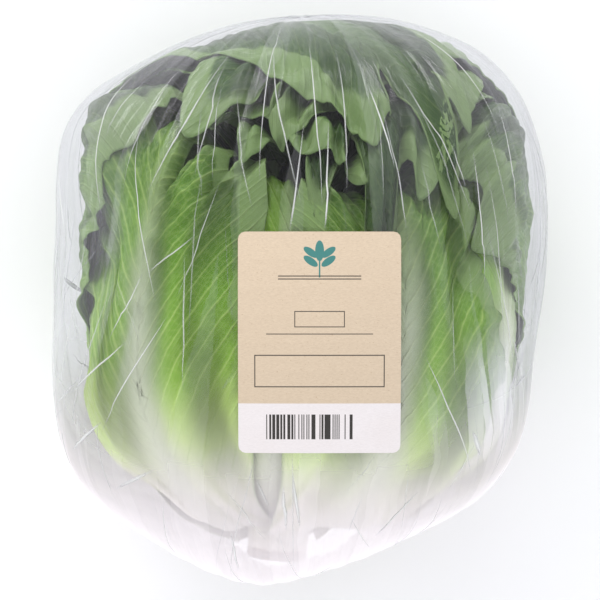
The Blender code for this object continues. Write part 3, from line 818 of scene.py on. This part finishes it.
film_finish, tree, shader = new_material("clear_film")
fold = attribute(tree, "fold").outputs["Vector"]
place = add(tree, "ShaderNodeTexCoord").outputs["Object"]
wander = add(tree, "ShaderNodeTexNoise", {"Vector": fold, "Scale": 6.0, "Detail": 1.0})
bent = add(
    tree, "ShaderNodeMix", {"Factor": 0.035, 4: fold, 5: wander.outputs["Color"]}, data_type="VECTOR"
).outputs[1]


def see_through(cover):
    """Ends the present material: its shader where cover is 1, and clear film where it is 0."""
    clear = add(tree, "ShaderNodeBsdfTransparent", {"Color": (0.98, 0.98, 0.99, 1)})
    mixed = add(tree, "ShaderNodeMixShader", {0: cover, 1: clear.outputs[0], 2: shader.outputs[0]})
    tree.links.new(mixed.outputs[0], tree.nodes["Material Output"].inputs["Surface"])


def facets(scale_around, scale_along, shift):
    """Long narrow facets of slack film: a number for each, and the distance to its border."""
    stretched = add(tree, "ShaderNodeMapping", {
        "Vector": bent, "Scale": (scale_around, scale_around, scale_along),
        "Location": (shift, shift, shift),
    }).outputs["Vector"]
    cells = add(tree, "ShaderNodeTexVoronoi", {"Vector": stretched, "Scale": 1.0})
    borders = add(
        tree, "ShaderNodeTexVoronoi", {"Vector": stretched, "Scale": 1.0}, feature="DISTANCE_TO_EDGE"
    )
    number = add(tree, "ShaderNodeSeparateColor", {"Color": cells.outputs["Color"]}).outputs["Red"]
    return number, borders.outputs["Distance"]


broad_number, broad_border = facets(5.0, 0.45, 2.0)
fine_number, fine_border = facets(17, 1.2, 7.0)
relief = math_node(tree, "MINIMUM", broad_border, 0.35)
relief = plus(tree, relief, times(tree, fine_border, 0.30))
tree.links.new(bump(tree, relief, 4 * MM, 0.6), shader.inputs["Normal"])
shader.inputs["Metallic"].default_value = 0.35
grazing = add(tree, "ShaderNodeLayerWeight", {"Blend": 0.5}).outputs["Facing"]
haze = times(tree, math_node(tree, "POWER", grazing, 2.4), 0.52)
from_mouth = add(tree, "ShaderNodeSeparateXYZ", {"Vector": fold}).outputs["Z"]
gathered = between(tree, from_mouth, 1.50, 0.80, 0.01, 0.66)
film_colour = mix_colour(
    tree, between(tree, from_mouth, 1.5, 1.1), (0.90, 0.90, 0.94), (1.0, 0.945, 0.965)
)
tree.links.new(film_colour, shader.inputs["Base Color"])
tree.links.new(between(tree, from_mouth, 1.6, 1.1, 0.14, 0.55), shader.inputs["Roughness"])
to_slack = add(
    tree, "ShaderNodeVectorMath", {0: place, 1: tuple(CENTRE + SLACK_AT)}, operation="DISTANCE"
).outputs["Value"]
slack_haze = between(tree, to_slack, 4 * MM, 32 * MM, 0.52, 0.0)
slack_haze = times(tree, slack_haze, between(tree, fine_number, 0.15, 0.75, 0.35, 1.0))
milky = between(tree, broad_number, 0.60, 0.95, 0.0, 0.05)
milky = plus(tree, milky, between(tree, fine_number, 0.70, 1.0, 0.0, 0.06))
see_through(math_node(tree, "ADD", plus(tree, haze, milky, gathered), slack_haze, True))
shown("clear_film", mesh, film_finish, "bag")

inside_finish, tree, shader = new_material("film_inside")
shader.inputs["Roughness"].default_value = 0.14
see_through(0.01)
mesh.materials.append(inside_finish)
for face in mesh.polygons:
    face.material_index = int(all(is_inner[v] for v in face.vertices))

# The sharpest creases stand up as thin ridges where the film is pinched; their white is a painted
# highlight, and the glints are shorter, wider painted highlights
CREASES, GLINTS, CREASE_STEPS = 190, 46, 28
CREASE_START, GLINT_START = (0.45, 2.3), (0.7, 1.5)
CREASE_LENGTH, GLINT_LENGTH = (0.12, 0.70), (0.06, 0.22)
CREASE_WIDTH, GLINT_WIDTH = (0.16 * MM, 0.36 * MM), (0.45 * MM, 0.95 * MM)
CREASE_HEIGHT, CREASE_SINK = 0.18 * MM, 0.05 * MM
CREASE_LEAN, KINKS, KINK_SIZE = 0.13, 6, 0.004

crease_highlight_finish, tree, shader = new_material("film_crease_painted_highlight")
# Painted highlight: a near-white that stands for light caught on the crease ridges
shader.inputs["Base Color"].default_value = (0.93, 0.94, 0.92, 1)
shader.inputs["Roughness"].default_value = 0.25
see_through(attribute(tree, "strength").outputs["Fac"])

film_grid = np.zeros((FILM_RINGS + 1, FILM_SEGMENTS, 4))
film_grid[ring[~is_inner], column[~is_inner], :3] = points[~is_inner]
film_grid[ring[~is_inner], column[~is_inner], 3] = off_label[~is_inner]
first_ring = ring.min()


def on_film(around, polar):
    """Points of the film's outside, and how clear of the label they are."""
    r = np.clip(polar / np.pi * FILM_RINGS, first_ring, FILM_RINGS - 1.001)
    c = (around / math.tau * FILM_SEGMENTS) % FILM_SEGMENTS
    i, j = r.astype(int), c.astype(int) % FILM_SEGMENTS
    u, v, k = (r - i)[:, None], (c - np.floor(c))[:, None], (j + 1) % FILM_SEGMENTS
    low = film_grid[i, j] * (1 - v) + film_grid[i, k] * v
    high = film_grid[i + 1, j] * (1 - v) + film_grid[i + 1, k] * v
    found = low * (1 - u) + high * u
    return found[:, :3], found[:, 3:]


draws = np.random.default_rng(11)


def crease(is_glint):
    """One crease: three rails of points along it, and how strong its painted white highlight is at each
    step.
    """
    share = np.linspace(0, 1, CREASE_STEPS + 1)
    start, length = draws.uniform(*CREASE_START), draws.uniform(*CREASE_LENGTH)
    if is_glint:
        start, length = draws.uniform(*GLINT_START), draws.uniform(*GLINT_LENGTH)
    polar = start + length * share
    kinks = np.cumsum(draws.normal(0, KINK_SIZE, KINKS))
    kinked = np.interp(share, np.sort(draws.uniform(0, 1, KINKS)), kinks)
    around = draws.uniform(0, math.tau) + draws.normal(0, CREASE_LEAN) * share
    around = around + kinked / np.maximum(np.sin(polar), 0.3)
    middle, clearness = on_film(around, polar)
    forward = unit(np.gradient(middle, axis=0) + 1e-12)
    outward = unit(middle - CENTRE)
    aside = unit(np.cross(forward, outward))
    swell = np.sqrt(np.sin(np.pi * share))[:, None]
    swell = swell * draws.uniform(*(GLINT_WIDTH if is_glint else CREASE_WIDTH))
    crest = middle + outward * CREASE_HEIGHT * clearness * np.sin(np.pi * share)[:, None]
    sunk = middle - outward * CREASE_SINK
    rails = np.stack([sunk - aside * swell, crest, sunk + aside * swell], 1)
    # How strong the painted highlight is: most in the crease's middle, none where it runs under the
    # label
    white = 0.8 * draws.uniform(0.35, 1.0) ** 1.6 * np.sin(np.pi * share) * clearness[:, 0]
    return np.clip(rails, *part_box("bag")), white


bm = bmesh.new()
painted_highlight_strengths = []
for number in range(CREASES + GLINTS):
    rails, white = crease(number >= CREASES)
    rings = [[bm.verts.new(p) for p in three] for three in rails]
    for near, far in zip(rings, rings[1:]):
        for k in range(3):
            bm.faces.new((near[k], near[(k + 1) % 3], far[(k + 1) % 3], far[k]))
    bm.faces.new(rings[0])
    bm.faces.new(rings[-1])
    painted_highlight_strengths.append(np.repeat(white, 3))
bmesh.ops.recalc_face_normals(bm, faces=bm.faces)
mesh = bpy.data.meshes.new("film_creases")
bm.to_mesh(mesh)
bm.free()
set_attribute(mesh, "strength", np.concatenate(painted_highlight_strengths))
mesh.shade_smooth()
shown("film_creases", mesh, crease_highlight_finish, "bag")

# The label
# A kraft paper sticker with rounded corners and a white lower band, stuck on the film in the
# middle of the front. Its print is plain: a sprig, three rules, two empty frames and bars
# that stand for no number.

label_finish, tree, shader = new_material("kraft_label")
place = add(tree, "ShaderNodeTexCoord").outputs["Object"]
centred = add(tree, "ShaderNodeMapping", {
    "Vector": place,
    "Location": (-CENTRE[0] - LABEL_CENTRE[0], -CENTRE[1] - LABEL_CENTRE[1], 0),
}).outputs["Vector"]
axes = add(tree, "ShaderNodeSeparateXYZ", {"Vector": centred}).outputs
label_x, label_y = axes["X"], axes["Y"]
PRINT_BLUR = 0.08 * MM


def block(x, y, width, height):
    """1 inside a printed block with its middle at (x, y), and 0 outside."""
    across = math_node(tree, "ABSOLUTE", math_node(tree, "SUBTRACT", label_x, x))
    up = math_node(tree, "ABSOLUTE", math_node(tree, "SUBTRACT", label_y, y))
    within = between(tree, across, width / 2 - PRINT_BLUR, width / 2 + PRINT_BLUR, 1.0, 0.0)
    under = between(tree, up, height / 2 - PRINT_BLUR, height / 2 + PRINT_BLUR, 1.0, 0.0)
    return times(tree, within, under)


def oval(x, y, width, height, turn):
    """1 inside a printed oval that is turned by an angle, and 0 outside."""
    turned = add(tree, "ShaderNodeMapping", {
        "Vector": centred, "Location": (x, y, 0), "Rotation": (0, 0, turn),
        "Scale": (width / 2, height / 2, 1),
    }, vector_type="TEXTURE").outputs["Vector"]
    flat = add(tree, "ShaderNodeVectorMath", {0: turned, 1: (1, 1, 0)}, operation="MULTIPLY")
    length = add(tree, "ShaderNodeVectorMath", {0: flat.outputs[0]}, operation="LENGTH")
    return between(tree, length.outputs["Value"], 0.95, 1.05, 1.0, 0.0)


def either(*masks):
    result = masks[0]
    for mask in masks[1:]:
        result = math_node(tree, "MAXIMUM", result, mask)
    return result


def empty_frame(x, y, width, height, line):
    """1 on the lines of a printed frame, and 0 inside and outside it."""
    inner = block(x, y, width - 2 * line, height - 2 * line)
    return times(tree, block(x, y, width, height), math_node(tree, "SUBTRACT", 1.0, inner))


WHITE_BAND = 17 * MM
SPRIG_AT, LEAFLET, LEAFLET_TURN, LEAFLET_APART = 31 * MM, (2.4 * MM, 5.6 * MM), 0.95, 3.0 * MM
SPRIG_GREEN = (0.05, 0.22, 0.20)
INK = (0.030, 0.026, 0.022)
BAR_WIDTH, BAR_GAPS = 0.34 * MM, 0.48
band_top = -LABEL_SIZE[1] / 2 + WHITE_BAND
band = between(tree, label_y, band_top - PRINT_BLUR, band_top + PRINT_BLUR, 1.0, 0.0)
sprig = oval(0, SPRIG_AT, 3.0 * MM, 7.0 * MM, 0)
for side in (-1, 1):
    for level in (0, 1):
        low = SPRIG_AT - 0.5 * MM - level * LEAFLET_APART
        leaflet = oval(side * LEAFLET_APART, low, *LEAFLET, -side * LEAFLET_TURN)
        sprig = either(sprig, leaflet)
sprig = either(sprig, block(0, SPRIG_AT - 4.5 * MM, 0.5 * MM, 9 * MM))
rules = either(
    block(0, 22.5 * MM, 28 * MM, 0.35 * MM), block(0, 21.5 * MM, 28 * MM, 0.35 * MM),
    block(0, 3.0 * MM, 36 * MM, 0.3 * MM),
)
frames = either(
    empty_frame(0, -9.5 * MM, 44 * MM, 11 * MM, 0.35 * MM),
    empty_frame(0, 8.0 * MM, 17 * MM, 5.5 * MM, 0.3 * MM),
)
bar_place = math_node(tree, "FLOOR", math_node(tree, "DIVIDE", label_x, BAR_WIDTH))
bar_choice = add(tree, "ShaderNodeTexWhiteNoise", {"W": bar_place}, noise_dimensions="1D")
bar_ink = math_node(tree, "GREATER_THAN", bar_choice.outputs["Value"], BAR_GAPS)
bars = times(tree, block(-3.5 * MM, -28.5 * MM, 30 * MM, 8.5 * MM), bar_ink)

fibres = add(tree, "ShaderNodeMapping", {"Vector": place, "Scale": (1, 5, 1)}).outputs["Vector"]
fibre = noise_texture(tree, fibres, 900, 4, 0.65, 0.6)
fleck = between(tree, noise_texture(tree, place, 1500, 2, 0.5), 0.66, 0.74)
cloud = noise_texture(tree, place, 60, 3)
kraft = ramp(tree, fibre, [(0.3, (0.62, 0.49, 0.35)), (0.7, (0.76, 0.62, 0.46))])
kraft = mix_colour(tree, times(tree, fleck, 0.45), kraft, (0.42, 0.27, 0.14))
white = ramp(tree, fibre, [(0.3, (0.82, 0.77, 0.77)), (0.7, (0.92, 0.87, 0.87))])
paper = mix_colour(tree, band, kraft, white)
paper = mix_colour(tree, times(tree, cloud, 0.15), paper, (0.60, 0.45, 0.30))
inked = mix_colour(tree, sprig, paper, SPRIG_GREEN)
inked = mix_colour(tree, either(rules, frames, bars), inked, INK)
tree.links.new(inked, shader.inputs["Base Color"])
tree.links.new(bump(tree, fibre, 0.08 * MM, 0.5), shader.inputs["Normal"])
tree.links.new(between(tree, fibre, 0.2, 0.8, 0.5, 0.7), shader.inputs["Roughness"])
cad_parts["label"].material_slots[0].material = label_finish

# The room
# A pale floor, a large soft light beyond the crown, a wide one at the stem's side that
# whitens the film there, and a long one at each side. The camera looks straight down.

CAMERA_HEIGHT = 1.142
FLOOR_SIZE = 6.0

floor_finish, tree, shader = new_material("pale_floor")
place = add(tree, "ShaderNodeTexCoord").outputs["Object"]
floor_tone = noise_texture(tree, place, 8, 2)
tree.links.new(
    ramp(tree, floor_tone, [(0.0, (0.955, 0.955, 0.955)), (1.0, (0.97, 0.97, 0.97))]),
    shader.inputs["Base Color"],
)
shader.inputs["Roughness"].default_value = 0.9
bm = bmesh.new()
bmesh.ops.create_grid(bm, x_segments=1, y_segments=1, size=FLOOR_SIZE / 2)
bmesh.ops.translate(bm, verts=bm.verts, vec=(0, 0, -0.3 * MM))
mesh = bpy.data.meshes.new("floor")
bm.to_mesh(mesh)
bm.free()
mesh.materials.append(floor_finish)
floor = bpy.data.objects.new("floor", mesh)
bpy.context.scene.collection.objects.link(floor)


def soft_light(name, place, width, depth, power, colour=(1, 1, 1)):
    """A rectangular light that faces the middle of the head."""
    data = bpy.data.lights.new(name, "AREA")
    data.shape, data.size, data.size_y = "RECTANGLE", width, depth
    data.energy, data.color = power, colour
    made = bpy.data.objects.new(name, data)
    made.location = place
    towards = Vector(CENTRE) - Vector(place)
    made.rotation_euler = towards.to_track_quat("-Z", "Y").to_euler()
    bpy.context.scene.collection.objects.link(made)


soft_light("crown_light", (-0.30, 1.25, 0.55), 1.4, 0.5, 12, (1.0, 0.99, 0.97))
soft_light("stem_light", (0.0, -1.2, 0.55), 2.0, 0.9, 4)
soft_light("left_light", (-1.2, 0.1, 0.35), 0.2, 1.2, 1.6, (0.96, 0.97, 1.0))
soft_light("right_light", (1.2, 0.0, 0.35), 0.2, 1.2, 1.4, (0.96, 0.97, 1.0))

world = bpy.data.worlds.new("studio")
world.use_nodes = True
world.node_tree.nodes["Background"].inputs["Color"].default_value = (0.95, 0.96, 1.0, 1)
world.node_tree.nodes["Background"].inputs["Strength"].default_value = 0.92
scene = bpy.context.scene
scene.world = world
scene.view_settings.view_transform = "Standard"

camera_data = bpy.data.cameras.new("camera")
camera_data.sensor_width, camera_data.lens = 36, 180
camera_data.dof.use_dof = False
camera = bpy.data.objects.new("camera", camera_data)
camera.location = (0, 0, CAMERA_HEIGHT)
scene.collection.objects.link(camera)
scene.camera = camera
